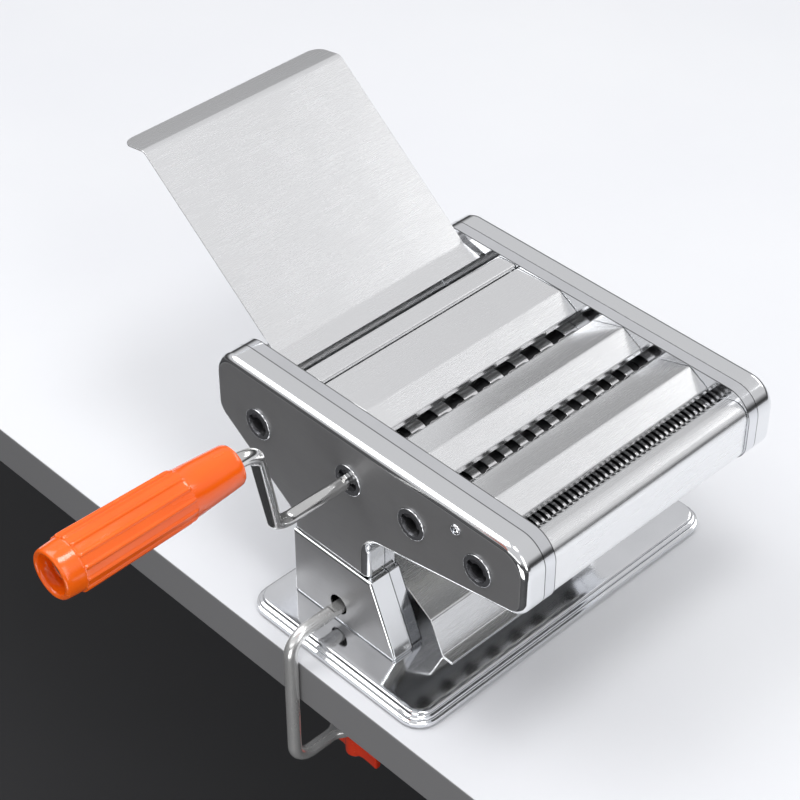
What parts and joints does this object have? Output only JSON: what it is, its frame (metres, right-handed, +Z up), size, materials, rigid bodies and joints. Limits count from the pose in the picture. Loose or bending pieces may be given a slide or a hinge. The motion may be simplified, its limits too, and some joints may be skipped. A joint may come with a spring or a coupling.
{
  "type": "pasta roller machine",
  "caption": "Table-top hand-cranked dough sheeter and noodle cutter with a smooth roller pair, cutting roller pairs, a feed tray, a removable crank and a table clamp.",
  "frame": {"origin": "middle of the base footprint, on the table under the feet", "axes": "+X from the feed tray to the nose, +Y along the rollers away from the crank, +Z up"},
  "size_m": [0.3322, 0.4235, 0.3412],
  "materials": {
    "chrome_sheet": "bright chrome plate",
    "cheek_plate": "satin chrome face, bright rim",
    "steel_frame": "zinc plated",
    "roller_steel": "ground nickel-plated steel",
    "shaft_steel": "turned",
    "rubber_foot": "matt",
    "brass_bush": "turned",
    "comb_plastic": "moulded",
    "knob_plastic": "moulded",
    "dial_metal": "satin with dark scale marks",
    "grip_plastic": "glossy orange",
    "clamp_plastic": "glossy red-orange",
    "plated_rod": "nickel plated"
  },
  "bodies": {
    "frame": {"base_plate": "chrome_sheet", "base_feet": "rubber_foot", "base_screws": "shaft_steel", "near_cheek_cover": "cheek_plate", "far_cheek_cover": "cheek_plate", "near_leg": "cheek_plate", "far_leg": "cheek_plate", "near_side_frame": "steel_frame", "far_side_frame": "steel_frame", "cross_rods": "shaft_steel", "rod_nuts": "shaft_steel", "cover_screws": "shaft_steel", "shaft_bushes": "brass_bush", "socket_rings": "chrome_sheet", "rear_cover": "chrome_sheet", "guide_plate": "chrome_sheet", "roller_cover": "chrome_sheet", "rear_hopper_cover": "chrome_sheet", "middle_hopper_cover": "chrome_sheet", "front_hopper_cover": "chrome_sheet", "nose_cover": "chrome_sheet", "wide_combs": "comb_plastic", "medium_combs": "comb_plastic", "narrow_combs": "comb_plastic", "roller_scrapers": "shaft_steel", "dial_plate": "dial_metal"},
    "tray": {"feed_tray": "chrome_sheet"},
    "first_roller": {"drive_roller": "roller_steel", "drive_roller_gear": "shaft_steel", "roller_socket": "shaft_steel"},
    "nip_slider": {"roller_plates": "steel_frame"},
    "second_roller": {"adjust_roller": "roller_steel", "adjust_roller_gear": "shaft_steel"},
    "regulator": {"regulator_shaft": "shaft_steel", "regulator_cams": "shaft_steel"},
    "knob": {"regulator_knob": "knob_plastic"},
    "wide_drive": {"wide_drive_cutter": "roller_steel", "wide_drive_gear": "shaft_steel", "wide_socket": "shaft_steel"},
    "wide_partner": {"wide_partner_cutter": "roller_steel", "wide_partner_gear": "shaft_steel"},
    "medium_drive": {"medium_drive_cutter": "roller_steel", "medium_drive_gear": "shaft_steel", "medium_socket": "shaft_steel"},
    "medium_partner": {"medium_partner_cutter": "roller_steel", "medium_partner_gear": "shaft_steel"},
    "narrow_drive": {"narrow_drive_cutter": "roller_steel", "narrow_drive_gear": "shaft_steel", "narrow_socket": "shaft_steel"},
    "narrow_partner": {"narrow_partner_cutter": "roller_steel", "narrow_partner_gear": "shaft_steel"},
    "crank": {"crank_rod": "plated_rod", "grip_washer": "plated_rod"},
    "grip": {"crank_grip": "grip_plastic"},
    "clamp": {"clamp_bracket": "plated_rod"},
    "pad": {"clamp_pad": "plated_rod"},
    "screw": {"clamp_screw": "plated_rod", "clamp_knob": "clamp_plastic"}
  },
  "joints": [
    {"name": "tray_lift", "type": "slide", "parent": "frame", "child": "tray", "axis": [-0.7837, 0, 0.6211], "range_m": [0, 0.06]},
    {"name": "roller_turn", "type": "hinge", "parent": "frame", "child": "first_roller", "pos_m": [-0.0775, 0, 0.117], "axis": [0, 1, 0], "continuous": true},
    {"name": "nip_close", "type": "slide", "parent": "frame", "child": "nip_slider", "axis": [-0.8437, 0, -0.5369], "range_m": [0, 0.0027]},
    {"name": "second_roller_turn", "type": "hinge", "parent": "nip_slider", "child": "second_roller", "pos_m": [-0.0532, 0, 0.13246], "axis": [0, 1, 0], "continuous": true},
    {"name": "regulator_turn", "type": "hinge", "parent": "frame", "child": "regulator", "pos_m": [-0.09142, 0, 0.10814], "axis": [0, 1, 0], "range_deg": [0, 270]},
    {"name": "knob_pull", "type": "slide", "parent": "regulator", "child": "knob", "axis": [0, 1, 0], "range_m": [0, 0.004], "stiffness_N_per_m": 300, "springref_m": -0.002},
    {"name": "wide_turn", "type": "hinge", "parent": "frame", "child": "wide_drive", "pos_m": [-0.0065, 0, 0.122], "axis": [0, 1, 0], "continuous": true},
    {"name": "wide_partner_turn", "type": "hinge", "parent": "frame", "child": "wide_partner", "pos_m": [0.0102, 0, 0.1305], "axis": [0, 1, 0], "continuous": true},
    {"name": "medium_turn", "type": "hinge", "parent": "frame", "child": "medium_drive", "pos_m": [0.0405, 0, 0.122], "axis": [0, 1, 0], "continuous": true},
    {"name": "medium_partner_turn", "type": "hinge", "parent": "frame", "child": "medium_partner", "pos_m": [0.0572, 0, 0.1305], "axis": [0, 1, 0], "continuous": true},
    {"name": "narrow_turn", "type": "hinge", "parent": "frame", "child": "narrow_drive", "pos_m": [0.0875, 0, 0.122], "axis": [0, 1, 0], "continuous": true},
    {"name": "narrow_partner_turn", "type": "hinge", "parent": "frame", "child": "narrow_partner", "pos_m": [0.1042, 0, 0.1305], "axis": [0, 1, 0], "continuous": true},
    {"name": "crank_pull", "type": "slide", "parent": "wide_drive", "child": "crank", "axis": [0, -1, 0], "range_m": [0, 0.016]},
    {"name": "grip_spin", "type": "hinge", "parent": "crank", "child": "grip", "pos_m": [0.02606, -0.25, 0.21655], "axis": [0, 1, 0], "continuous": true},
    {"name": "clamp_pull", "type": "slide", "parent": "frame", "child": "clamp", "axis": [0, -1, 0], "range_m": [0, 0.022]},
    {"name": "clamp_feed", "type": "slide", "parent": "clamp", "child": "pad", "axis": [0, 0, 1], "range_m": [-0.025, 0]},
    {"name": "clamp_turn", "type": "hinge", "parent": "pad", "child": "screw", "pos_m": [-0.0172, -0.086, -0.06], "axis": [0, 0, 1], "range_deg": [-7200, 0]}
  ],
  "couplings": [
    {"joint": "second_roller_turn", "follows": "roller_turn", "ratio": -1},
    {"joint": "regulator_turn", "follows": "nip_close", "rad_per_m": 1745.3},
    {"joint": "clamp_turn", "follows": "clamp_feed", "rad_per_m": 5026.5},
    {"joint": "wide_partner_turn", "follows": "wide_turn", "ratio": -1},
    {"joint": "medium_partner_turn", "follows": "medium_turn", "ratio": -1},
    {"joint": "narrow_partner_turn", "follows": "narrow_turn", "ratio": -1}
  ]
}
